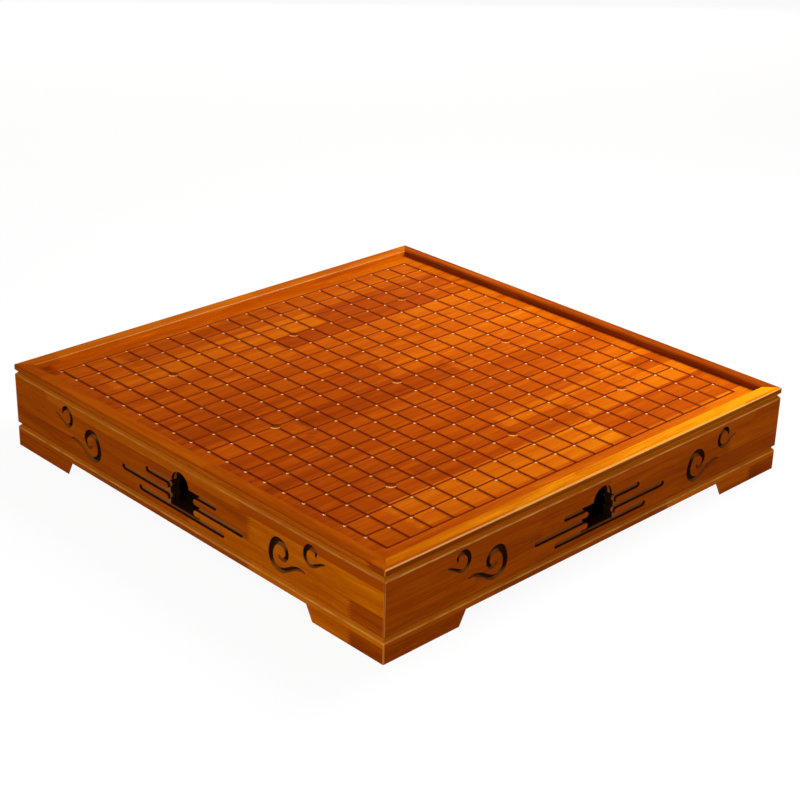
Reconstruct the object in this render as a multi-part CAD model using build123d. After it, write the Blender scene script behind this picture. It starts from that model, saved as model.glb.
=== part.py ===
from build123d import *
import os
from math import radians, sqrt, tan

# Go board on a low case. Two drawers for the stones pull out of opposite sides.
# X and Y lie along the sides, Z is up, and Z = 0 is the table. Sizes are in millimetres.

# Playing grid: the pitch is the scale cue for the whole object.
LINES = 19
PITCH = 23.34
LINE_WIDTH = 1.8
LINE_DEPTH = 1.0
STAR_LINES = (3, 9, 15)
STAR_DIAMETER = 9.5
STAR_DEPTH = 1.0

# Outside
OUTER = 480.0
PLINTH_HEIGHT = 20.5
WALL_HEIGHT = 51.3
RIM_HEIGHT = 7.5
SEAM_CHAMFER = 2.6
CORNER_RADIUS = 1.2

# Rim and board
RIM_WIDTH = 13.6
RIM_STEP = 5.4
RIM_OUTER_RADIUS = 1.8
RIM_INNER_CHAMFER = 0.8
BOARD_THICKNESS = 12.0

# Plinth with its bracket feet
PLINTH_THICKNESS = 18.0
FOOT_HEIGHT = 12.9
NOTCH_TOP_WIDTH = 309.0
NOTCH_BOTTOM_WIDTH = 323.0
FOOT_BACK_CUT = 50.0
FLOOR_THICKNESS = 4.0
FLOOR_INSET = 14.0
BLOCK_WIDTH = 36.0
PAD_WIDTH = 28.0
PAD_THICKNESS = 2.0

# Carved panels: heights are above the panel's lower edge, lengths are from its middle
WALL_THICKNESS = 13.2
BAR_WIDTH = 5.2
BAR_PITCH = 10.3
BAR_DEPTH = 5.0
BAR_BOTTOM_RADIUS = 2.4
LOWEST_BAR = 9.3
BAR_HALF_LENGTHS = (56.4, 79.8, 46.7)
DOME_RADIUS = 11.4
TONGUE_TIP = 17.0
SCROLL_DEPTH = 3.0
SCROLL_FLOOR_SHARE = 0.5
SCROLL_SAMPLES = 28
# Each cloud scroll is a stroke: place along the panel, height, and width of the cut there.
LARGE_SCROLL = (
    (122.8, 21.5, 2.0),
    (127.5, 18.6, 3.4),
    (132.2, 24.0, 4.4),
    (127.0, 32.2, 6.2),
    (118.2, 31.9, 6.6),
    (114.0, 25.5, 6.2),
    (112.9, 17.5, 6.2),
    (117.5, 10.2, 5.4),
    (125.5, 8.9, 4.6),
    (136.0, 14.4, 4.0),
    (146.0, 18.6, 3.2),
    (153.6, 18.2, 1.0),
)
SMALL_SCROLL = (
    (164.9, 36.9, 2.2),
    (164.6, 41.2, 3.6),
    (159.8, 43.5, 4.6),
    (154.5, 40.6, 4.8),
    (152.8, 33.6, 4.6),
    (157.6, 27.8, 3.6),
    (167.0, 30.9, 2.8),
    (176.2, 34.8, 0.9),
)

# Inside of the case
PULL_POCKET = 22.8
PARTITION_THICKNESS = 8.0
DIVIDER_THICKNESS = 10.0
BEARER_SETBACK = 16.8
BEARER_WIDTH = 30.0
BEARER_THICKNESS = 6.0

# Drawer boxes
BOX_THICKNESS = 8.0
BOX_FLOOR = 4.0

# Clearances
SEAM_GAP = 0.3
RUN_GAP = 0.4
SIDE_GAP = 0.6
STOP_GAP = 1.0

# Pins and screws
DOWEL_DIAMETER = 6.0
DOWEL_LENGTH = 16.0
PANEL_DOWEL_DEPTH = 7.0
PIN_DIAMETER = 5.0
PIN_DEPTH = 4.5
PIN_SPACING = 150.0
SCREW_HEAD = 6.0
SCREW_HEAD_HEIGHT = 1.6
SCREW_SHANK = 3.0
SCREW_DEPTH = 16.0
SCREW_SPACING = 140.0

# Worked out from the above
OVERCUT = 1.0
HALF = OUTER / 2
GRID_SIDE = PITCH * (LINES - 1)
WALL_TOP = PLINTH_HEIGHT + WALL_HEIGHT
TOTAL_HEIGHT = WALL_TOP + RIM_HEIGHT
BOARD_TOP = TOTAL_HEIGHT - RIM_STEP
BOARD_BOTTOM = BOARD_TOP - BOARD_THICKNESS
BOARD_SIDE = OUTER - 2 * RIM_WIDTH
FLOOR_BOTTOM = PLINTH_HEIGHT - FLOOR_THICKNESS
WALL_INSIDE = HALF - WALL_THICKNESS
PARTITION_OUTSIDE = WALL_INSIDE - PULL_POCKET
PARTITION_INSIDE = PARTITION_OUTSIDE - PARTITION_THICKNESS
PARTITION_END = WALL_INSIDE - STOP_GAP / 2
BEARER_BOTTOM = BOARD_BOTTOM - BEARER_THICKNESS
BOX_BOTTOM = PLINTH_HEIGHT + RUN_GAP
BOX_FLOOR_TOP = BOX_BOTTOM + BOX_FLOOR
BOX_TOP = BEARER_BOTTOM - SIDE_GAP
BOX_BACK_TOP = BOARD_BOTTOM - SIDE_GAP
BOX_HALF = PARTITION_INSIDE - SIDE_GAP
BOX_INSIDE = BOX_HALF - BOX_THICKNESS
BOX_END = DIVIDER_THICKNESS / 2 + STOP_GAP
BOX_BACK_FACE = BOX_END + BOX_THICKNESS
BEARER_OUTSIDE = WALL_INSIDE - BEARER_SETBACK
BEARER_INSIDE = BEARER_OUTSIDE - BEARER_WIDTH
SIDE_MIDDLE = BOX_INSIDE + BOX_THICKNESS / 2
SIDE_TURN = {"front": 0, "right": 90, "back": 180, "left": 270}
STANDING = (Align.CENTER, Align.CENTER, Align.MIN)

# Section runs inward from the front face, and front_face is the front face seen from outside.
section_plane = Plane(origin=(0, -HALF, 0), x_dir=(0, 1, 0), z_dir=(1, 0, 0))
front_face = Plane(origin=(0, -HALF, 0), x_dir=(1, 0, 0), z_dir=(0, -1, 0))


def block(low, high):
    """Box between two opposite corners."""
    size = Vector(*high) - Vector(*low)
    return Pos(*low) * Box(*size, align=(Align.MIN, Align.MIN, Align.MIN))


def upright(diameter, low, high):
    """Round bar from one height to another."""
    return Pos(0, 0, low) * Cylinder(diameter / 2, high - low, align=STANDING)


def turned(piece, side):
    """A piece made for the front, carried round to another side."""
    return piece.rotate(Axis.Z, SIDE_TURN[side])


def mitred_bar(section, depth, gap=0.0):
    """Bar of one section along the front, with its ends mitred and its outer corners eased."""
    bar = extrude(section_plane * section, HALF, both=True)
    end = HALF - gap * sqrt(2)
    corners = ((-end, -HALF), (end, -HALF), (end - depth, depth - HALF), (depth - end, depth - HALF))
    plan = Polygon(*corners, align=None) & RectangleRounded(OUTER, OUTER, CORNER_RADIUS)
    return bar & extrude(plan, TOTAL_HEIGHT)


# Playing surface


def line_cutter():
    """V-shaped cutter for one grid line along X, with its axis on the board's face."""
    flare = LINE_WIDTH / 2 * (1 + OVERCUT / LINE_DEPTH)
    triangle = Polygon((-flare, OVERCUT), (0, -LINE_DEPTH), (flare, OVERCUT), align=None)
    half_length = (GRID_SIDE + LINE_WIDTH) / 2
    return extrude(Plane.YZ * triangle, half_length, both=True)


def star_cutter():
    """Ball that leaves one shallow star point."""
    radius = ((STAR_DIAMETER / 2) ** 2 + STAR_DEPTH**2) / (2 * STAR_DEPTH)
    return Pos(0, 0, radius - STAR_DEPTH) * Sphere(radius)


def line_place(line):
    """Distance of a grid line from the board's middle."""
    return line * PITCH - GRID_SIDE / 2


def playing_board():
    """Board with 19 grooves each way and the nine star points."""
    half = BOARD_SIDE / 2
    board = block((-half, -half, BOARD_BOTTOM), (half, half, BOARD_TOP))
    places = [line_place(line) for line in range(LINES)]
    along_x = [Pos(0, place, BOARD_TOP) * line_cutter() for place in places]
    along_y = [Pos(place, 0, BOARD_TOP) * Rot(Z=90) * line_cutter() for place in places]
    stars = [line_place(line) for line in STAR_LINES]
    dimples = [Pos(x, y, BOARD_TOP) * star_cutter() for x in stars for y in stars]
    return board - along_x - along_y - dimples


def rim_rail():
    """Frame rail over the front wall, grooved along the seam below it."""
    outline = (
        (SEAM_CHAMFER, WALL_TOP),
        (0, WALL_TOP + SEAM_CHAMFER),
        (0, TOTAL_HEIGHT),
        (RIM_WIDTH - RIM_INNER_CHAMFER, TOTAL_HEIGHT),
        (RIM_WIDTH, TOTAL_HEIGHT - RIM_INNER_CHAMFER),
        (RIM_WIDTH, WALL_TOP),
    )
    section = Polygon(*outline, align=None)
    outer_edge = section.vertices().sort_by_distance((0, TOTAL_HEIGHT, 0))[0]
    return mitred_bar(fillet(outer_edge, RIM_OUTER_RADIUS), RIM_WIDTH)


# Plinth


def foot_notch():
    """Gap between the two bracket feet of the front rail, wider behind its face."""
    slope = (NOTCH_BOTTOM_WIDTH - NOTCH_TOP_WIDTH) / 2 / FOOT_HEIGHT
    spread = tan(radians(FOOT_BACK_CUT))

    def outline(depth):
        top = NOTCH_TOP_WIDTH / 2 + depth * spread
        bottom = top + (FOOT_HEIGHT + OVERCUT) * slope
        points = ((-bottom, -OVERCUT), (bottom, -OVERCUT), (top, FOOT_HEIGHT), (-top, FOOT_HEIGHT))
        return front_face.offset(-depth) * Polygon(*points, align=None)

    return loft([outline(-OVERCUT), outline(PLINTH_THICKNESS + OVERCUT)], ruled=True)


def plinth_rail():
    """Base rail with a chamfered top edge, a rebate for the floor and two bracket feet."""
    outline = (
        (0, 0),
        (0, PLINTH_HEIGHT - SEAM_CHAMFER),
        (SEAM_CHAMFER, PLINTH_HEIGHT),
        (FLOOR_INSET, PLINTH_HEIGHT),
        (FLOOR_INSET, FLOOR_BOTTOM),
        (PLINTH_THICKNESS, FLOOR_BOTTOM),
        (PLINTH_THICKNESS, 0),
    )
    return mitred_bar(Polygon(*outline, align=None), PLINTH_THICKNESS) - foot_notch()


def corner_block():
    """Glue block behind the feet of the front right corner."""
    outside = HALF - PLINTH_THICKNESS
    inside = outside - BLOCK_WIDTH
    return block((inside, -outside, PAD_THICKNESS), (outside, -inside, FLOOR_BOTTOM))


def foot_pad():
    """Flat pad under the front right corner block, level with the feet."""
    middle = HALF - PLINTH_THICKNESS - BLOCK_WIDTH / 2
    return Pos(middle, -middle, 0) * Box(PAD_WIDTH, PAD_WIDTH, PAD_THICKNESS, align=STANDING)


# Carved panels


def pull_cutter():
    """Through cut for the fingers: a dome over three openings, with rounded tongues between them."""
    tongue_radius = (BAR_PITCH - BAR_WIDTH) / 2
    root = TONGUE_TIP + tongue_radius
    low = PLINTH_HEIGHT + LOWEST_BAR - BAR_WIDTH / 2
    high = low + 2 * BAR_PITCH + BAR_WIDTH
    window = Pos(0, (low + high) / 2) * Rectangle(2 * root, high - low)
    dome = Pos(0, high) * Circle(DOME_RADIUS)
    tongue_heights = [low + BAR_WIDTH + tongue_radius + step * BAR_PITCH for step in (0, 1)]
    tongues = [Pos(x, z) * Circle(tongue_radius) for x in (-root, root) for z in tongue_heights]
    outline = window + dome - tongues
    return extrude(front_face.offset(OVERCUT) * outline, -(WALL_THICKNESS + 2 * OVERCUT))


def bar_cutter(half_length, height):
    """Round-bottomed blind groove, one of the cloud's three bars."""
    slot = Pos(0, height) * SlotOverall(2 * half_length, BAR_WIDTH)
    groove = extrude(front_face.offset(OVERCUT) * slot, -(BAR_DEPTH + OVERCUT))
    return fillet(groove.faces().sort_by(Axis.Y)[-1].edges(), BAR_BOTTOM_RADIUS)


def scroll_cutter(stroke, side):
    """Blind cut along one cloud scroll, narrower at its floor. Side is 1 or -1."""
    curve = Spline(*stroke)

    def outline(depth, share):
        near, far = [], []
        for step in range(SCROLL_SAMPLES + 1):
            place = curve @ (step / SCROLL_SAMPLES)
            way = curve % (step / SCROLL_SAMPLES)
            across = Vector(-way.Y, way.X).normalized() * (place.Z * share / 2)
            near.append((side * (place.X + across.X), place.Y + across.Y + PLINTH_HEIGHT))
            far.append((side * (place.X - across.X), place.Y - across.Y + PLINTH_HEIGHT))
        edges = [Spline(*near), Line(near[-1], far[-1]), Spline(*reversed(far)), Line(far[0], near[0])]
        return front_face.offset(-depth) * make_face(edges)

    widening = 1 + (1 - SCROLL_FLOOR_SHARE) * OVERCUT / SCROLL_DEPTH
    return loft([outline(-OVERCUT, widening), outline(SCROLL_DEPTH, SCROLL_FLOOR_SHARE)], ruled=True)


def carved_panel(gap):
    """Carved panel along the front. Gap is left all round it, or 0 for a fixed wall."""
    low = PLINTH_HEIGHT + gap
    high = WALL_TOP - gap
    outline = (
        (SEAM_CHAMFER, low),
        (0, low + SEAM_CHAMFER),
        (0, high - SEAM_CHAMFER),
        (SEAM_CHAMFER, high),
        (WALL_THICKNESS, high),
        (WALL_THICKNESS, low),
    )
    panel = mitred_bar(Polygon(*outline, align=None), WALL_THICKNESS, gap) - pull_cutter()
    for step, half_length in enumerate(BAR_HALF_LENGTHS):
        panel -= bar_cutter(half_length, PLINTH_HEIGHT + LOWEST_BAR + step * BAR_PITCH)
    for stroke in (LARGE_SCROLL, SMALL_SCROLL):
        for side in (-1, 1):
            panel -= scroll_cutter(stroke, side)
    return panel


# Pins that hold the fixed walls


def pins(level):
    """Upright pins in the middle of the right wall's edge, half in each piece that they join."""
    middle = WALL_INSIDE + WALL_THICKNESS / 2
    pin = upright(PIN_DIAMETER, level - PIN_DEPTH, level + PIN_DEPTH)
    return [Pos(middle, place, 0) * pin for place in (-PIN_SPACING, 0, PIN_SPACING)]


def both_sides(pieces):
    """The right side's pieces and the same ones turned round to the left."""
    return pieces + [piece.rotate(Axis.Z, 180) for piece in pieces]


# Inside of the case


def bottom_panel():
    """Floor of the case, let into the plinth, with countersunk holes for its screws."""
    half = HALF - FLOOR_INSET
    return block((-half, -half, FLOOR_BOTTOM), (half, half, PLINTH_HEIGHT)) - floor_screws()


def floor_screw():
    """Countersunk screw that comes up through the floor."""
    head = Cone(SCREW_HEAD / 2, SCREW_SHANK / 2, SCREW_HEAD_HEIGHT, align=STANDING)
    shank = upright(SCREW_SHANK, SCREW_HEAD_HEIGHT, SCREW_DEPTH)
    return Pos(0, 0, FLOOR_BOTTOM) * (head + shank)


def floor_screws():
    """Screws into both guide partitions and the centre divider."""
    partition = (PARTITION_INSIDE + PARTITION_OUTSIDE) / 2
    places = [(x, y) for x in (-partition, partition) for y in (-SCREW_SPACING, 0, SCREW_SPACING)]
    places += [(-SCREW_SPACING / 2, 0), (SCREW_SPACING / 2, 0)]
    return [Pos(x, y, 0) * floor_screw() for x, y in places]


def guide_partition():
    """Right-hand partition: it guides both drawers and closes the hand hold behind the wall."""
    low = (PARTITION_INSIDE, -PARTITION_END, PLINTH_HEIGHT)
    return block(low, (PARTITION_OUTSIDE, PARTITION_END, BOARD_BOTTOM)) - floor_screws()


def centre_divider():
    """Cross wall between the two drawers."""
    half = DIVIDER_THICKNESS / 2
    low = (-PARTITION_INSIDE, -half, PLINTH_HEIGHT)
    return block(low, (PARTITION_INSIDE, half, BOARD_BOTTOM)) - floor_screws()


def board_bearer():
    """Flat rail under the board over the front drawer. The drawer's back stops against it."""
    low = (-PARTITION_INSIDE, -BEARER_OUTSIDE, BEARER_BOTTOM)
    return block(low, (PARTITION_INSIDE, -BEARER_INSIDE, BOARD_BOTTOM))


# Drawer at the front


def drawer_dowels():
    """Four dowels that fix the carved panel to the ends of the box sides."""
    height = BOX_TOP - BOX_FLOOR_TOP
    start = -WALL_INSIDE - PANEL_DOWEL_DEPTH
    places = [(x, z) for x in (-SIDE_MIDDLE, SIDE_MIDDLE) for z in (height / 4, height * 3 / 4)]
    dowel = Cylinder(DOWEL_DIAMETER / 2, DOWEL_LENGTH, rotation=(90, 0, 0))
    return [Pos(x, start + DOWEL_LENGTH / 2, BOX_FLOOR_TOP + z) * dowel for x, z in places]


def drawer_side():
    """Right-hand side of the box, standing on its floor."""
    low = (BOX_INSIDE, -WALL_INSIDE, BOX_FLOOR_TOP)
    return block(low, (BOX_HALF, -BOX_END, BOX_TOP)) - drawer_dowels()


def drawer_inner_front():
    """Front of the box, behind the finger space."""
    outside = WALL_INSIDE - PULL_POCKET
    low = (-BOX_INSIDE, -outside, BOX_FLOOR_TOP)
    return block(low, (BOX_INSIDE, BOX_THICKNESS - outside, BOX_TOP))


def drawer_back():
    """Back of the box, tall enough to meet the bearer when the drawer is fully out."""
    low = (-BOX_INSIDE, -BOX_BACK_FACE, BOX_FLOOR_TOP)
    return block(low, (BOX_INSIDE, -BOX_END, BOX_BACK_TOP))


def drawer_bottom():
    """Floor of the box, under all its sides."""
    return block((-BOX_HALF, -WALL_INSIDE, BOX_BOTTOM), (BOX_HALF, -BOX_END, BOX_FLOOR_TOP))


def drawer_pieces():
    """Every piece of the front drawer by name."""
    side = drawer_side()
    return {
        "panel": carved_panel(SEAM_GAP) - drawer_dowels(),
        "inner_front": drawer_inner_front(),
        "side_right": side,
        "side_left": side.mirror(Plane.YZ),
        "back": drawer_back(),
        "bottom": drawer_bottom(),
        "dowels": Compound(drawer_dowels()),
    }


def case_pieces():
    """Every piece of the case by name."""
    rim_pins = both_sides(pins(WALL_TOP))
    plinth_pins = both_sides(pins(PLINTH_HEIGHT))
    rail, base, wall, partition = rim_rail(), plinth_rail(), carved_panel(0), guide_partition()
    pieces = {
        "playing_board": playing_board(),
        "bottom_panel": bottom_panel(),
        "guide_partition_right": partition,
        "guide_partition_left": turned(partition, "back"),
        "centre_divider": centre_divider(),
        "front_bearer": board_bearer(),
        "back_bearer": turned(board_bearer(), "back"),
        "floor_screws": Compound(floor_screws()),
        "rim_pins": Compound(rim_pins),
        "plinth_pins": Compound(plinth_pins),
        "foot_pads": Compound([turned(foot_pad(), side) for side in SIDE_TURN]),
    }
    for number, side in enumerate(SIDE_TURN, start=1):
        pieces[f"rim_rail_{side}"] = turned(rail, side) - rim_pins
        pieces[f"plinth_rail_{side}"] = turned(base, side) - plinth_pins
        pieces[f"corner_block_{number}"] = turned(corner_block(), side)
    for side in ("right", "left"):
        pieces[f"side_wall_{side}"] = turned(wall, side) - rim_pins - plinth_pins
    return pieces


def write_pieces():
    """One file for each named piece."""
    os.makedirs("parts", exist_ok=True)
    pieces = case_pieces()
    for name, piece in drawer_pieces().items():
        pieces[f"front_drawer_{name}"] = piece
        pieces[f"back_drawer_{name}"] = turned(piece, "back")
    for name, piece in pieces.items():
        export_step(piece, f"parts/{name}.step")


write_pieces()
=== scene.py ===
# %% [markdown]
# # A go board with stone drawers
#
# The case, its carved fronts and its two drawers arrive as finished solids, already in place.
# This lesson dresses them: it gives every solid a procedural finish, lays the light and sets
# the camera. All lengths in the scene are metres, and the shaders work in millimetres.

# %% Load the frame
import json
import math

import bmesh
import bpy
from mathutils import Matrix, Vector


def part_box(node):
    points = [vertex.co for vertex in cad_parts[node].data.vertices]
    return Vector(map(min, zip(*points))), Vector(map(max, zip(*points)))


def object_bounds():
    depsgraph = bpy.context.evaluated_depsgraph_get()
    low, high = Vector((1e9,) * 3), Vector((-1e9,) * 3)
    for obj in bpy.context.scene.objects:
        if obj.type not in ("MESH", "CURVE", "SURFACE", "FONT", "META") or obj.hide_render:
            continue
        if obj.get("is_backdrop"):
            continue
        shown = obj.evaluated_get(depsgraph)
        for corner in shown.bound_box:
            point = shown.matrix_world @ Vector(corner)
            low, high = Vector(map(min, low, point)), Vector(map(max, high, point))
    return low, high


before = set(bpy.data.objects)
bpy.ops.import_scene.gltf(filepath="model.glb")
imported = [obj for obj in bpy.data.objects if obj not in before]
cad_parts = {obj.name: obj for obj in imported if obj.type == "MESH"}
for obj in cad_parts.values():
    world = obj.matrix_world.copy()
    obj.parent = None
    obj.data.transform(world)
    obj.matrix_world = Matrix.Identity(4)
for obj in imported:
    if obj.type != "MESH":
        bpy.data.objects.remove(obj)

MM = 1000.0

solid_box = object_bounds()
solid_size = [round(MM * side) for side in solid_box[1] - solid_box[0]]
print("pieces:", len(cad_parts), "size in mm:", solid_size)

# %% [markdown]
# ## Sizes that the finishes need
#
# The stain in the grooves and carvings follows the depth below a face, so a finish has to know
# where the faces are. Their heights are read from the solids' own boxes, so the stain moves
# along if the case is ever made taller. The pitch of the grid can't be read from a box: it is
# written down here, in millimetres, and has to be changed by hand with the board's own grid.

# %% Measure the faces
half = MM * solid_box[1].x
rim_top = MM * solid_box[1].z
board_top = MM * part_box("playing_board")[1].z
plinth_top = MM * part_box("plinth_rail_front")[1].z
wall_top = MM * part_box("side_wall_left")[1].z
pitch = 23.34
star_pitch = 6.0 * pitch
grid_half = 9.0 * pitch
print("half width", round(half, 1), "board top", round(board_top, 1))
print("carved wall from", round(plinth_top, 1), "to", round(wall_top, 1))

# %% [markdown]
# ## Writing shader sums as plain Python
#
# A wood finish is mostly arithmetic on positions. Placing each Math node by hand hides the
# formula, so a wire knows how to add, subtract, multiply and divide: every sum adds its node.


# %% A wire that can be calculated with
class Wire:
    """One output of a shader node."""

    def __init__(self, finish, socket):
        self.finish = finish
        self.socket = socket

    def __add__(self, other):
        return self.finish.math("ADD", self, other)

    def __radd__(self, other):
        return self.finish.math("ADD", other, self)

    def __sub__(self, other):
        return self.finish.math("SUBTRACT", self, other)

    def __rsub__(self, other):
        return self.finish.math("SUBTRACT", other, self)

    def __mul__(self, other):
        return self.finish.math("MULTIPLY", self, other)

    def __truediv__(self, other):
        return self.finish.math("DIVIDE", self, other)

    def __abs__(self):
        return self.finish.math("ABSOLUTE", self)

    def __round__(self):
        return self.finish.math("ROUND", self)

    def root(self):
        return self.finish.math("SQRT", self)

    def larger(self, other):
        return self.finish.math("MAXIMUM", self, other)

    def smaller(self, other):
        return self.finish.math("MINIMUM", self, other)

    def zigzag(self, top):
        """Up to top and down to 0 again, over and over."""
        return self.finish.math("PINGPONG", self, top)

    def rise(self, low, high):
        """0 below low, 1 above high, smooth between them."""
        sockets = {"Value": self, "From Min": low, "From Max": high}
        return self.finish.node("ShaderNodeMapRange", {"interpolation_type": "SMOOTHSTEP"}, sockets)


print("wires are ready")

# %% [markdown]
# ## A finish is a material with a few tools
#
# One method places any node: its settings go in first, because a Math node's operation or a
# noise's dimension decides which sockets it has, and then values or wires go to the sockets.


# %% The finish class
class Finish:
    """A material that is built up from wires."""

    def __init__(self, name):
        self.material = bpy.data.materials.new(name)
        self.material.use_nodes = True
        self.tree = self.material.node_tree
        self.tree.nodes.clear()

    def node(self, kind, settings=None, sockets=None, out=0):
        made = self.tree.nodes.new(kind)
        for name, value in (settings or {}).items():
            setattr(made, name, value)
        for name, value in (sockets or {}).items():
            if isinstance(value, Wire):
                self.tree.links.new(value.socket, made.inputs[name])
            else:
                made.inputs[name].default_value = value
        if isinstance(out, tuple):
            return [Wire(self, made.outputs[each]) for each in out]
        return Wire(self, made.outputs[out])

    def math(self, operation, *values):
        return self.node("ShaderNodeMath", {"operation": operation}, dict(enumerate(values)))

    def parts(self, vector):
        return self.node("ShaderNodeSeparateXYZ", None, {0: vector}, out=(0, 1, 2))

    def millimetres(self):
        """Measure the finish out in millimetres, and note which way each face looks."""
        place, self.facing = self.node("ShaderNodeTexCoord", out=("Object", "Normal"))
        scaled = self.node("ShaderNodeVectorMath", {"operation": "SCALE"}, {0: place, "Scale": MM})
        self.where = self.parts(scaled)
        return self.where

    def ramp(self, value, stops):
        """A colour for each value, from stops of a position and a colour."""
        colour = self.node("ShaderNodeValToRGB", None, {"Fac": value})
        elements = colour.socket.node.color_ramp.elements
        while len(elements) < len(stops):
            elements.new(1.0)
        for element, (position, shade) in zip(elements, stops):
            element.position = position
            element.color = (*shade, 1.0)
        return colour

    def blend(self, mask, first, second):
        paint = [value if isinstance(value, Wire) else (*value, 1.0) for value in (first, second)]
        sockets = {0: mask, 6: paint[0], 7: paint[1]}
        return self.node("ShaderNodeMix", {"data_type": "RGBA"}, sockets, out=2)

    def noise(self, where, sizes, detail=3.0, roughness=0.5):
        """Noise from 0 to 1. Its blots are as long as the sizes, one or three, in millimetres."""
        if isinstance(sizes, float):
            sizes = (sizes, sizes, sizes)
        scaled = {axis: place / size for axis, (place, size) in enumerate(zip(where, sizes))}
        vector = self.node("ShaderNodeCombineXYZ", None, scaled)
        sockets = {"Vector": vector, "Scale": 1.0, "Detail": detail, "Roughness": roughness}
        return self.node("ShaderNodeTexNoise", None, sockets)

    def relief(self, height):
        """A bump from a height in millimetres."""
        return self.node("ShaderNodeBump", None, {"Height": height, "Distance": 1 / MM, "Strength": 1.0})

    def surface(self, **sockets):
        named = {name.replace("_", " "): value for name, value in sockets.items()}
        shader = self.node("ShaderNodeBsdfPrincipled", None, named)
        return self.output(shader)

    def output(self, shader):
        self.node("ShaderNodeOutputMaterial", None, {"Surface": shader}, out=())
        return self.material


print("finishes are ready")

# %% [markdown]
# ## Wood glued up from blocks
#
# The real board isn't one plank: short blocks are glued end to end into strips, and the strips
# side by side. Each block comes from another tree, so its tone and its grain differ. A brick
# pattern gives blocks of one size only. A pattern of random cells along a line cuts it into
# uneven lengths, each with its own random colour. So one such pattern across the grain makes
# the strips, and a second along the grain, shifted by the strip's own number, makes the blocks.
# The blocks' ends are cut to fingers, so that the joint runs in a zigzag. The layout shifts the
# strips, and with them every block: another number is another board.

# %% Strips and blocks
FINGER_PITCH = 2.4
FINGER_LENGTH = 5.5
STRIP_SHIFT = 78.0


def cells(finish, position, feature="F1", uneven=0.75):
    """Uneven cells along a line: each cell's random colour, or the way to the nearest border."""
    settings = {"voronoi_dimensions": "1D", "feature": feature}
    sockets = {"W": position, "Scale": 1.0, "Randomness": uneven}
    out = "Color" if feature == "F1" else "Distance"
    return finish.node("ShaderNodeTexVoronoi", settings, sockets, out)


def blocks(finish, along, across, strip_width, block_length, layout=0.0, uneven=0.75):
    """Three random numbers for each block, and how near the glue joint is, from 0 to 1."""
    strip_at = across / strip_width + layout
    strip = finish.parts(cells(finish, strip_at, uneven=uneven))[0]
    fingers = (across / FINGER_PITCH).zigzag(0.5) * (2.0 * FINGER_LENGTH)
    block_at = (along + fingers) / block_length + strip * STRIP_SHIFT
    numbers = finish.parts(cells(finish, block_at))
    side_joint = cells(finish, strip_at, "DISTANCE_TO_EDGE", uneven) * strip_width
    end_joint = cells(finish, block_at, "DISTANCE_TO_EDGE") * block_length
    joint = 1.0 - side_joint.smaller(end_joint).rise(0.05, 0.55)
    return numbers, joint


print("blocks are ready")

# %% [markdown]
# ## Grain
#
# Grain is noise that is stretched many times along the tree. Three scales together read as
# wood: broad figure, fine streaks, and pores as short dark dashes. A slow bend keeps them from
# running dead straight. The noise is shifted by the block's random numbers, up to some metres
# along the tree, so the grain stops at every glue joint, as it does on the real board.

# %% Grain at three scales
BEND = (90.0, 40.0, 40.0)
FIGURE = (120.0, 9.0, 14.0)
STREAKS = (34.0, 1.3, 1.6)
PORES = (5.0, 0.42, 0.5)


def grain(finish, along, across, up, numbers):
    """Broad figure, fine streaks and pores, each from 0 to 1."""
    a, b, c = numbers
    bend = finish.noise((along, across, up + a * 360.0), BEND, 2.0) * 7.0
    side = across + bend + a * 400.0
    figure = finish.noise((along + b * 3600.0, side, up), FIGURE, 4.0, 0.6)
    streaks = finish.noise((along + c * 1700.0, side, up), STREAKS, 3.0, 0.65)
    pores = finish.noise((along + b * 350.0, side, up), PORES, 1.0).rise(0.60, 0.74)
    return figure, streaks, pores


print("grain is ready")

# %% [markdown]
# ## Stained wood under a thin lacquer
#
# The wood is stained orange and sealed under a clear lacquer. The colour is a ramp from a red
# brown to a yellow orange, driven by block tone and grain: one ramp for the board, and one a
# little more golden for the rails. The clear coat over it is thin and rough. A sharp coat would
# mirror the lamps as pale violet patches, and the real board shows none. A photograph couldn't
# be laid on here as a picture, since the finish has to be procedural, and it wouldn't turn with
# the grain of each rail anyway.

# %% Orange wood
AMBER = [
    (0.00, (0.200, 0.0220, 0.0003)),
    (0.30, (0.375, 0.0500, 0.0005)),
    (0.55, (0.520, 0.0880, 0.0008)),
    (0.80, (0.670, 0.1560, 0.0014)),
    (1.00, (0.820, 0.2500, 0.0040)),
]
GOLDEN = [
    (0.00, (0.190, 0.0250, 0.0002)),
    (0.30, (0.360, 0.0580, 0.0003)),
    (0.55, (0.490, 0.0930, 0.0005)),
    (0.80, (0.650, 0.1620, 0.0010)),
    (1.00, (0.860, 0.2900, 0.0030)),
]
PORE_DARK = (0.170, 0.0220, 0.0010)
STAIN_AND_SHADE = (0.030, 0.0090, 0.0020)
LIT_CUT = (0.380, 0.1250, 0.0260)
GROOVE = (0.240, 0.0270, 0.0003)
SHADED = (0.190, 0.0260, 0.0003)
TOP_STRIP_SHADE = (0.410, 0.0660, 0.0004)
LIT_WOOD = (0.620, 0.1850, 0.0070)
HIGHLIGHT = (0.880, 0.4400, 0.1100)
GLINT = (0.950, 0.5600, 0.2200)
PANEL_BACK = (0.500, 0.3000, 0.1300)


def stained(finish, along, across, up, strips, tone, spread, stops):
    """The stained wood's colour, and the height of its grain in millimetres."""
    numbers, joint = blocks(finish, along, across, **strips)
    figure, streaks, pores = grain(finish, along, across, up, numbers)
    level = tone + (numbers[1] - 0.5) * spread + (figure - 0.5) * 0.72 + (streaks - 0.5) * 0.55
    colour = finish.ramp(level - joint * 0.20, stops)
    colour = finish.blend(pores * 0.35, colour, PORE_DARK)
    height = streaks * 0.004 - pores * 0.006 - joint * 0.01
    return colour, height


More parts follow.
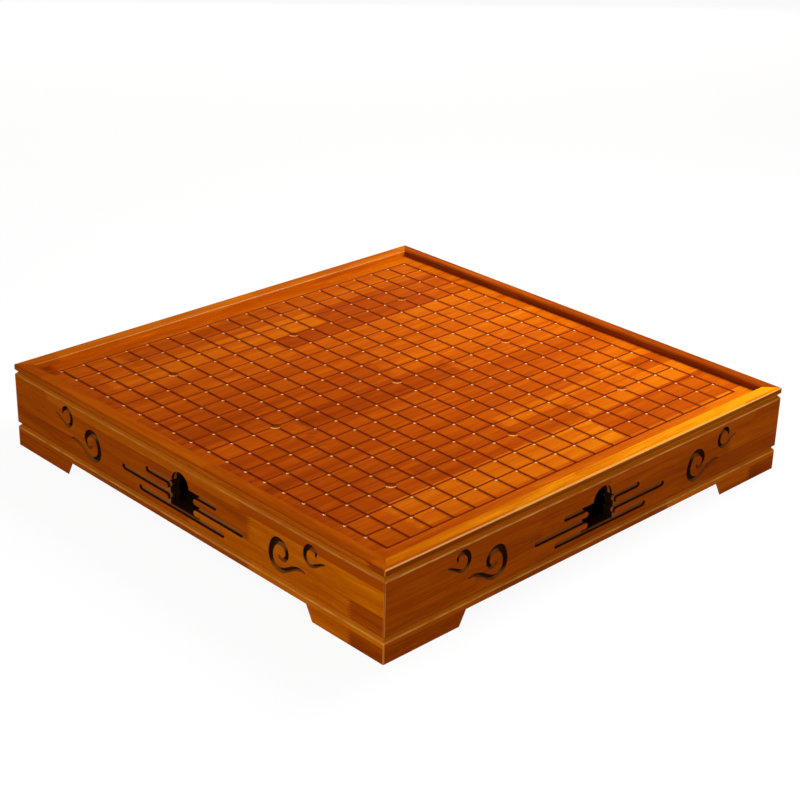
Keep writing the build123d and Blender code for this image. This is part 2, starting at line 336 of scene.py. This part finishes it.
def lacquer(finish, colour, height, coat):
    """The clear coat, which lies as thick as the coat wire says."""
    normal = finish.relief(height)
    return finish.surface(
        Base_Color=colour,
        Roughness=finish.noise(finish.where, 30.0, 2.0) * 0.12 + 0.36,
        Normal=normal,
        Coat_Normal=normal,
        Specular_IOR_Level=0.0,
        Coat_Weight=coat,
        Coat_Roughness=0.24,
    )


print("stops in each ramp:", len(AMBER), len(GOLDEN))

# %% [markdown]
# ## The playing board
#
# Its 19 lines each way are grooves, stained dark before the lacquer went on. The mask for that
# stain is simply the height: whatever lies under the face is in a groove or a star point. The
# stain has soaked a little into the wood beside the lines too, with a ragged fringe. That halo
# is partly painted shade: it lies off to one side of each line, darker beside the lines along X.
#
# Where two grooves cross, the wood has a small dish. The dish is a bump here, since its depth
# is a few tenths of a millimetre. On one side of each dish sits a pale spot: a painted glint,
# where the lacquer would catch the low light from behind. The distance to the nearest crossing
# comes from rounding the position to whole pitches.
#
# The star points are real dimples in the solid. Their dark and their light side are painted as
# the light from the back left would leave them, and a bump makes their own shading flatter.

# %% Board finish
DISH_RADIUS = 2.8
STAR_RADIUS = 4.75
GLINT_START, GLINT_END = 0.7, 1.7


def off_line(place, step):
    """How far a place lies from the nearest line, with lines at every step."""
    return place - round(place / step) * step


def length(x, y):
    return (x * x + y * y).root()


def within(place):
    """1 up to the grid's outer line, 0 beyond it."""
    return 1.0 - abs(place).rise(grid_half, grid_half + 0.8)


def before_last(place):
    """1 up to the grid's last line, and 0 on it."""
    return 1.0 - place.rise(grid_half - 1.0, grid_half)


def board_finish():
    finish = Finish("board_lacquer")
    x, y, z = finish.millimetres()
    strips = {"strip_width": 34.0, "block_length": 190.0}
    # The tone grows toward +X and +Y: painted light, paler where the top box lights the board more.
    tone = x / 7000.0 + y / 2400.0 + 0.505
    colour, height = stained(finish, y, x, z, strips, tone, 0.45, AMBER)

    sunk = (board_top - z).rise(0.01, 0.10)
    off_x, off_y = off_line(x, pitch), off_line(y, pitch)
    star_x, star_y = off_line(x, star_pitch), off_line(y, star_pitch)
    from_star = length(star_x, star_y)
    star = 1.0 - from_star.rise(STAR_RADIUS - 0.45, STAR_RADIUS - 0.05)
    inside = 1.0 - abs(x).larger(abs(y)).rise(grid_half + 2.0, grid_half + 3.0)

    fringe = finish.noise((x, y, 0.0), (0.8, 9.0, 1.0), 2.0) * 1.6
    # The halo is partly stain and partly painted shade: it sits off to one side of each line.
    soak_and_shade = (1.0 - abs(off_y + 0.4).rise(0.9 + fringe, 2.1 + fringe)) * within(x) * inside
    beside = (1.0 - abs(off_x + 0.2).rise(0.9, 2.1)) * within(y) * inside
    colour = finish.blend((soak_and_shade * 0.50).larger(beside * 0.22), colour, GROOVE)
    colour = finish.blend(sunk * (1.0 - star * 0.25), colour, GROOVE)

    # A pale spot on one side of each crossing: a painted glint.
    from_glint = length((off_x - off_y) / 1.8 - 1.4, (off_x + off_y) / 1.414 - 0.5)
    glint = (1.0 - from_glint.rise(GLINT_START, GLINT_END)) * inside * before_last(x)
    glint = glint * before_last(y) * (1.0 - star)
    colour = finish.blend(glint, colour, GLINT)

    # Painted shade on the far side of each star dimple, and a painted highlight on its near side.
    lit = (star_x * 0.75 - star_y * 0.66) / STAR_RADIUS
    colour = finish.blend((0.0 - lit).rise(0.1, 0.6) * star * 0.4, colour, STAIN_AND_SHADE)
    colour = finish.blend(lit.rise(0.05, 0.45) * star * 0.95, colour, HIGHLIGHT)

    near = (1.0 - (length(off_x, off_y) / DISH_RADIUS).smaller(1.0)) * inside
    dish = near * (2.0 - near) * 0.35
    star_edge = (from_star / STAR_RADIUS).smaller(1.0)
    height = height - dish - star_edge * star_edge * 0.5
    return lacquer(finish, colour, height, (1.0 - sunk) * 0.045 + 0.01)


board = board_finish()
print("made", board.name)

# %% [markdown]
# ## The rim, the carved walls and the plinth
#
# The same wood runs along each rail, so its grain turns with the side it is on. One finish
# per side would be the plain way, but front and back rails share a direction, and so do left
# and right ones: a single switch between X and Y is enough.
#
# What each side gets besides is given per side, and some of it is painted light. The right
# rim lightens to the back and is painted dark outside, seams and corners are pale lines as
# painted highlights, and in the cuts the bar floors and the faces that look up are paler. The
# carved walls are three strips high, and the cut at their top edge leaves a narrow strip that
# is painted darker, as shade.

# %% What all rails share
CHAMFER = 2.5
CORNER_COAT = 0.3


def rail_finish(name, lengthwise, tone, strips, spread, flat=False, paler=0.0):
    """Rail wood that runs along "x" or "y". A flat rail has its strips side by side."""
    finish = Finish(name)
    x, y, z = finish.millimetres()
    along, across = (x, y) if lengthwise == "x" else (y, x)
    # paler lightens the rail toward its far end: painted light.
    level = along * (paler / half) + tone
    strips_at = across + z if flat else z
    colour, height = stained(finish, along, strips_at, across, strips, level, spread, GOLDEN)
    along, across = abs(along), abs(across)
    # A pale line down each vertical corner: a painted highlight on the arris.
    corner = along.rise(half - 1.5, half - 0.6) * across.rise(half - 1.5, half - 0.6)
    colour = finish.blend(corner * 0.75, colour, LIT_WOOD)
    return finish, (along, across, z), corner, colour, height


def chamfered(finish, where, top, colour, bare):
    """The chamfer paler as painted light, and a pale line below it, partly wear, partly a highlight."""
    patches = finish.noise(where, (25.0, 2.0, 1.5), 3.0, 0.7)
    down = top - where[2]
    slope = 1.0 - down.rise(CHAMFER - 0.2, CHAMFER + 0.2)
    colour = finish.blend(slope * (patches * 0.6 + 0.25), colour, LIT_WOOD)
    line = down.rise(CHAMFER - 0.8, CHAMFER - 0.1) * (1.0 - down.rise(CHAMFER + 0.4, CHAMFER + 1.1))
    return finish.blend(line * patches.rise(0.30, 0.62) * bare, colour, HIGHLIGHT)


print("rail wood is ready")

# %% Rim, plinth and carved walls
RIM_WIDTH = 13.6
WALL_STRIP = 22.0
LOW_STRIP_MIDDLE = 28.0
TOP_JOINT = LOW_STRIP_MIDDLE + 1.5 * WALL_STRIP
FIELD_HALF = 196.5
FIELD_MARGIN = 3.5
SCROLLS_FROM = 95.5
BAR_FLOOR = 5.1
WALL_BACK = 13.15


def rim_finish(side, tone, layout=0.0, paler=0.0, arris_highlight=0.0, shade=0.0):
    """Rim wood with painted light: paler to its far end, highlit edges, a shaded outer face."""
    lengthwise = "y" if side in ("left", "right") else "x"
    strips = {"strip_width": 11.0, "block_length": 230.0, "layout": layout, "uneven": 0.6}
    rail = rail_finish("rim_lacquer_" + side, lengthwise, tone, strips, 0.6, True, paler)
    finish, (_, across, z), corner, colour, height = rail
    # Painted shade darkens the outer face, and the top edges get a painted highlight.
    outer_edge = across.rise(half - 1.3, half - 0.7)
    inner_edge = 1.0 - across.rise(half - RIM_WIDTH + 0.1, half - RIM_WIDTH + 0.7)
    edge = outer_edge.larger(inner_edge * 0.5) * z.rise(rim_top - 1.3, rim_top - 0.7)
    outside = across.rise(half - 0.7, half - 0.3) * (1.0 - edge)
    colour = finish.blend(outside * shade, colour, SHADED)
    colour = finish.blend(edge * arris_highlight, colour, HIGHLIGHT)
    coat = (edge * arris_highlight * 0.4).larger(corner * CORNER_COAT) + 0.04
    return lacquer(finish, colour, height, coat)


def plinth_finish(lengthwise, tone):
    strips = {"strip_width": 26.0, "block_length": 210.0, "layout": 3.3}
    rail = rail_finish("plinth_lacquer_" + lengthwise, lengthwise, tone, strips, 0.6)
    finish, where, corner, colour, height = rail
    colour = chamfered(finish, where, plinth_top, colour, 0.6)
    return lacquer(finish, colour, height, corner * CORNER_COAT + 0.02)


def carved_finish(lengthwise, tone, bare, layout, spread):
    """Wall wood with dark cuts; their pale bar floors and upward ledges are painted light."""
    layout = layout - LOW_STRIP_MIDDLE / WALL_STRIP
    strips = {"strip_width": WALL_STRIP, "block_length": 210.0, "layout": layout, "uneven": 0.0}
    rail = rail_finish("carved_lacquer_" + lengthwise, lengthwise, tone, strips, spread)
    finish, where, corner, colour, height = rail
    along, across, z = where
    # The top strip is painted darker, as shade under the rim.
    colour = finish.blend(z.rise(TOP_JOINT - 0.2, TOP_JOINT + 0.2) * 0.62, colour, TOP_STRIP_SHADE)
    colour = chamfered(finish, where, wall_top, colour, bare)

    low, high = plinth_top + FIELD_MARGIN, wall_top - FIELD_MARGIN
    field = 1.0 - along.rise(FIELD_HALF - 0.5, FIELD_HALF + 0.5)
    field = field * z.rise(low - 0.1, low + 0.1) * (1.0 - z.rise(high - 0.1, high + 0.1))
    depth = half - across
    cut = depth.rise(0.35, 0.80) * field
    scroll = along.rise(SCROLLS_FROM - 0.5, SCROLLS_FROM + 0.5)
    # The cuts are coloured dark. Their bar floors and the faces that look up are paler: painted light.
    floor = depth.rise(2.3, 3.3) * (1.0 - depth.rise(BAR_FLOOR - 0.05, BAR_FLOOR + 0.05))
    lit_ledge = finish.parts(finish.facing)[2].rise(0.35, 0.90) * scroll
    lit_in_cut = (floor * (1.0 - scroll)).larger(lit_ledge * 0.7)
    colour = finish.blend(cut, colour, finish.blend(lit_in_cut, STAIN_AND_SHADE, LIT_CUT))
    colour = finish.blend(depth.rise(WALL_BACK - 0.03, WALL_BACK + 0.03), colour, PANEL_BACK)
    return lacquer(finish, colour, height, corner * CORNER_COAT + 0.02)


rails = {
    "rim_front": rim_finish("front", 0.40, layout=0.3),
    "rim_back": rim_finish("back", 0.14, layout=1.7),
    "rim_left": rim_finish("left", 0.62, arris_highlight=0.35),
    "rim_right": rim_finish("right", 0.77, layout=2.1, paler=0.26, arris_highlight=0.85, shade=0.75),
    "carved_x": carved_finish("x", 0.54, bare=0.35, layout=3.0, spread=0.55),
    "carved_y": carved_finish("y", 0.45, bare=0.85, layout=1.0, spread=0.50),
    "plinth_x": plinth_finish("x", 0.56),
    "plinth_y": plinth_finish("y", 0.50),
}
print("made", len(rails), "rail finishes")

# %% [markdown]
# ## Inside: bare wood, dowels, felt and screws
#
# Nothing inside the case is lacquered. The drawer boxes are pale sanded wood with the same
# three scales of grain and no clear coat. Only the last two centimetres behind the carved walls
# are painted dark as shade, since a finger hole would show them. The dowels are paler still.
# The pads under the feet are felt, and the floor screws are zinc plated.

# %% Bare wood
PALE = [
    (0.0, (0.360, 0.175, 0.060)),
    (0.5, (0.560, 0.320, 0.125)),
    (1.0, (0.710, 0.470, 0.220)),
]
PALE_PORE = (0.220, 0.110, 0.045)
SHADE_BEYOND = 203.4


def bare_finish(name, lengthwise, tone=0.5):
    finish = Finish(name)
    x, y, z = finish.millimetres()
    along, across = (x, y) if lengthwise == "x" else (y, x)
    numbers, _ = blocks(finish, along, across + z, 70.0, 420.0, 1.9)
    figure, streaks, pores = grain(finish, along, across, z, numbers)
    level = tone + (numbers[1] - 0.5) * 0.30 + (figure - 0.5) * 0.8 + (streaks - 0.5) * 0.35
    colour = finish.blend(pores * 0.3, finish.ramp(level, PALE), PALE_PORE)
    # Painted shade: the wood behind the carved walls, seen through a finger hole, is coloured dark.
    shade_behind_wall = abs(x).larger(abs(y)).rise(SHADE_BEYOND - 0.2, SHADE_BEYOND + 0.2)
    return finish.surface(
        Base_Color=finish.blend(shade_behind_wall, colour, STAIN_AND_SHADE),
        Roughness=streaks * 0.15 + 0.55,
        Specular_IOR_Level=0.2,
        Normal=finish.relief(streaks * 0.05 - pores * 0.06),
    )


bare_x = bare_finish("bare_wood_x", "x")
bare_y = bare_finish("bare_wood_y", "y")
dowel_wood = bare_finish("dowel_wood", "y", 0.85)
print("made", bare_x.name, bare_y.name, dowel_wood.name)


# %% Felt and screws
def felt_finish():
    finish = Finish("pad_felt")
    where = finish.millimetres()
    fibre = finish.noise(where, 0.7, 5.0, 0.7)
    clump = finish.noise(where, 6.0, 2.0)
    greys = [(0.3, (0.012, 0.010, 0.009)), (0.7, (0.060, 0.052, 0.045))]
    return finish.surface(
        Base_Color=finish.ramp(fibre * 0.7 + clump * 0.3, greys),
        Roughness=0.95,
        Normal=finish.relief(fibre * 0.5),
        Sheen_Weight=0.4,
    )


def screw_finish():
    finish = Finish("zinc_plating")
    mottle = finish.noise(finish.millimetres(), 1.2, 3.0, 0.6)
    return finish.surface(
        Base_Color=finish.ramp(mottle, [(0.3, (0.46, 0.45, 0.40)), (0.7, (0.66, 0.64, 0.57))]),
        Metallic=1.0,
        Roughness=mottle * 0.25 + 0.22,
        Normal=finish.relief(mottle * 0.02),
    )


felt = felt_finish()
zinc = screw_finish()
print("made", felt.name, zinc.name)


# %% [markdown]
# ## Hand out the finishes
#
# Every solid keeps its mesh and gets its finish in its material slots. The name of a solid
# says which side it is on, and with that, which way its grain runs.


# %% Assign
def finish_for(name):
    crosswise = "_left" in name or "_right" in name
    if name == "playing_board":
        return board
    if name.startswith("rim_rail"):
        return rails["rim_" + name.rsplit("_", 1)[1]]
    if name.startswith("plinth_rail"):
        return rails["plinth_y" if crosswise else "plinth_x"]
    if name.startswith("side_wall"):
        return rails["carved_y"]
    if name.endswith("_drawer_panel"):
        return rails["carved_x"]
    if name.endswith("_pins") or name.endswith("_dowels"):
        return dowel_wood
    if name == "foot_pads":
        return felt
    if name == "floor_screws":
        return zinc
    return bare_y if crosswise else bare_x


given = {}
for name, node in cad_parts.items():
    for slot in node.material_slots:
        slot.material = finish_for(name)
    given[name] = node.material_slots[0].material.name
print(json.dumps(given, indent=1))

# %% [markdown]
# ## Floor
#
# The board stands on a plain white studio sweep. The camera should see the sweep as white
# while the board keeps its soft shadow on it, so the floor is a pale diffuse surface with
# some glow of its own. Only what looks at it straight or in a mirror sees that glow. The
# wood gets its light back from a darker floor, so that the glow doesn't light the board.

# %% White sweep
FLOOR_HALF = 12.0


def sweep_finish():
    finish = Finish("white_sweep")
    kinds = ("Is Camera Ray", "Is Glossy Ray", "Is Transmission Ray")
    straight, mirrored, through = finish.node("ShaderNodeLightPath", out=kinds)
    seen = straight.larger(mirrored).larger(through)
    glow = finish.node("ShaderNodeEmission", None, {"Color": (1, 1, 1, 1), "Strength": 1.05})
    matt = finish.node("ShaderNodeBsdfDiffuse", None, {"Color": (0.80, 0.80, 0.80, 1)})
    dim = finish.node("ShaderNodeBsdfDiffuse", None, {"Color": (0.50, 0.50, 0.50, 1)})
    bright = finish.node("ShaderNodeMixShader", None, {0: 0.89, 1: matt, 2: glow})
    return finish.output(finish.node("ShaderNodeMixShader", None, {0: seen, 1: dim, 2: bright}))


sheet = bmesh.new()
bmesh.ops.create_grid(sheet, x_segments=1, y_segments=1, size=FLOOR_HALF)
floor_mesh = bpy.data.meshes.new("studio_floor")
sheet.to_mesh(floor_mesh)
sheet.free()
floor = bpy.data.objects.new("studio_floor", floor_mesh)
bpy.context.scene.collection.objects.link(floor)
floor_mesh.materials.append(sweep_finish())
floor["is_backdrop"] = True
print("floor is", round(2 * FLOOR_HALF), "m across")

# %% [markdown]
# ## Light
#
# A soft box above and a little behind gives the top its level. A low and warm one behind on
# the left adds to it at a flat angle, one in front keeps the left carved side readable, and a
# weak one does the same for the right side. A soft box's power says little by itself, so a
# helper works it out from the level that a face turned to it gets, where 1 shows a colour as
# it is written.


# %% Soft boxes
def soft_box(name, place, aim, width, height, level, tint=(1.0, 1.0, 1.0)):
    lamp = bpy.data.lights.new(name, "AREA")
    lamp.shape = "RECTANGLE"
    lamp.size, lamp.size_y = width, height
    way = Vector(aim) - Vector(place)
    lamp.energy = level * math.pi**2 * way.length_squared
    lamp.color = tint
    box = bpy.data.objects.new(name, lamp)
    box.matrix_world = Matrix.Translation(place) @ way.to_track_quat("-Z", "Y").to_matrix().to_4x4()
    bpy.context.scene.collection.objects.link(box)
    print(name, "is", round(lamp.energy, 1), "W at", round(way.length, 2), "m")


soft_box("top_box", (0.10, 0.56, 0.75), (0.04, 0, 0.07), 0.34, 0.4, 1.22)
soft_box("low_box", (-1.42, 1.18, 0.28), (0, 0, 0.07), 1.7, 0.35, 0.28, (1.0, 0.88, 0.66))
soft_box("front_box", (0.55, -1.5, 0.5), (0, 0, 0.04), 0.9, 0.7, 0.34)
soft_box("side_box", (2.0, -0.4, 0.6), (0, 0, 0.04), 0.7, 0.6, 0.10)

# %% [markdown]
# The world adds an even, weak light from all round, and shows plain white to the camera.


# %% World
def studio_world():
    world = bpy.data.worlds.new("studio_white")
    world.use_nodes = True
    tree = world.node_tree
    tree.nodes.clear()
    path = tree.nodes.new("ShaderNodeLightPath")
    mixed = tree.nodes.new("ShaderNodeMixShader")
    tree.links.new(path.outputs["Is Camera Ray"], mixed.inputs[0])
    for socket, strength in ((1, 0.20), (2, 1.0)):
        sky = tree.nodes.new("ShaderNodeBackground")
        sky.inputs["Color"].default_value = (1, 1, 1, 1)
        sky.inputs["Strength"].default_value = strength
        tree.links.new(sky.outputs[0], mixed.inputs[socket])
    out = tree.nodes.new("ShaderNodeOutputWorld")
    tree.links.new(mixed.outputs[0], out.inputs["Surface"])
    return world


bpy.context.scene.world = studio_world()
bpy.context.scene.view_settings.view_transform = "Standard"
print("world is", bpy.context.scene.world.name)

# %% [markdown]
# ## Camera
#
# The camera was solved from the grid's crossings and the outer edges: it stands about 1.6 m
# from the middle of the board, looks down by 25 degrees and is rolled by a degree and a half.
# Its three directions are written down as they were solved.

# %% Place the camera
view = bpy.data.cameras.new("board_camera")
view.sensor_width = 36.0
view.lens = 79.52
view.clip_start, view.clip_end = 0.05, 60.0
camera = bpy.data.objects.new("board_camera", view)
right = Vector((0.69033, 0.72311, 0.02357))
up = Vector((-0.31908, 0.27505, 0.90693))
forward = Vector((-0.64933, 0.63361, -0.42061))
turn = Matrix((right, up, -forward)).transposed().to_4x4()
camera.matrix_world = Matrix.Translation((1.02107, -0.99202, 0.71564)) @ turn
bpy.context.scene.collection.objects.link(camera)
bpy.context.scene.camera = camera
print("lens", view.lens, "mm")

# %% [markdown]
# ## Last check
#
# The dressed model has to fill the same box as the bare solids. Both boxes are set side by side
# below, and the dressed size is printed.

# %% Write the sizes and finish
shown_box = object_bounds()
{"cad": [list(c) for c in solid_box], "visual": [list(c) for c in shown_box]}
print("dressed size in mm:", [round(MM * side, 1) for side in shown_box[1] - shown_box[0]])
